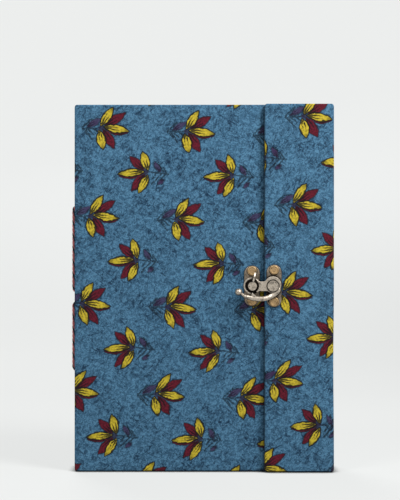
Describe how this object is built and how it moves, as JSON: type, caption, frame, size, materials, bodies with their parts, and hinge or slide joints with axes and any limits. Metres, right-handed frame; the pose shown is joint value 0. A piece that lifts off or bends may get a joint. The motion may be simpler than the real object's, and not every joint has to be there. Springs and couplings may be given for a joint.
{
  "type": "diary with clasp",
  "caption": "Upright cloth-covered diary whose back cover folds round the fore-edge as a flap, closed over the front by a metal swing-hook clasp; sewn through the spine.",
  "frame": {"origin": "centre of the bounding box's bottom, under the tail edge that the diary stands on", "axes": "+X from the spine to the fore-edge, -Y the front cover's outward side, +Z from tail to head"},
  "size_m": [0.1542, 0.0335, 0.2162],
  "materials": {
    "cover_cloth": "printed cotton cloth, blue ground with floral sprigs",
    "cover_board": "grey-brown binder's board",
    "lining_paper": "cream lining paper",
    "leaf_paper": "handmade paper with soft deckle edges",
    "sewing_cord": "twisted red and black cord",
    "clasp_metal": "antiqued cast metal with dark patina",
    "rivet_metal": "dulled brass rivets"
  },
  "bodies": {
    "book": {"front_cloth": "cover_cloth", "front_board": "cover_board", "front_lining": "lining_paper", "back_cloth": "cover_cloth", "back_board": "cover_board", "back_lining": "lining_paper", "spine_cloth": "cover_cloth", "spine_card": "cover_board", "spine_lining": "lining_paper", "section_1": "leaf_paper", "sewing_thread_1": "sewing_cord", "section_2": "leaf_paper", "sewing_thread_2": "sewing_cord", "section_3": "leaf_paper", "sewing_thread_3": "sewing_cord", "section_4": "leaf_paper", "sewing_thread_4": "sewing_cord", "section_5": "leaf_paper", "sewing_thread_5": "sewing_cord", "section_6": "leaf_paper", "sewing_thread_6": "sewing_cord", "post_plate": "clasp_metal", "post_plate_rivets": "rivet_metal", "catch_post": "clasp_metal"},
    "fore_edge": {"fore_edge_cloth": "cover_cloth", "fore_edge_board": "cover_board", "fore_edge_lining": "lining_paper"},
    "flap": {"flap_cloth": "cover_cloth", "flap_board": "cover_board", "flap_lining": "lining_paper", "pivot_plate": "clasp_metal", "pivot_rivet": "clasp_metal", "pivot_plate_rivets": "rivet_metal"},
    "hook": {"hook_lever": "clasp_metal"}
  },
  "joints": [
    {"name": "fore_edge_fold", "type": "hinge", "parent": "book", "child": "fore_edge", "pos_m": [0.0746, 0.01487, 0.108], "axis": [0, 0, 1], "range_deg": [0, 180]},
    {"name": "flap_fold", "type": "hinge", "parent": "fore_edge", "child": "flap", "pos_m": [0.0746, -0.00907, 0.108], "axis": [0, 0, 1], "range_deg": [0, 180]},
    {"name": "hook_swing", "type": "hinge", "parent": "flap", "child": "hook", "pos_m": [0.0402, -0.01268, 0.1094], "axis": [0, 1, 0], "range_deg": [-9, 120]}
  ]
}
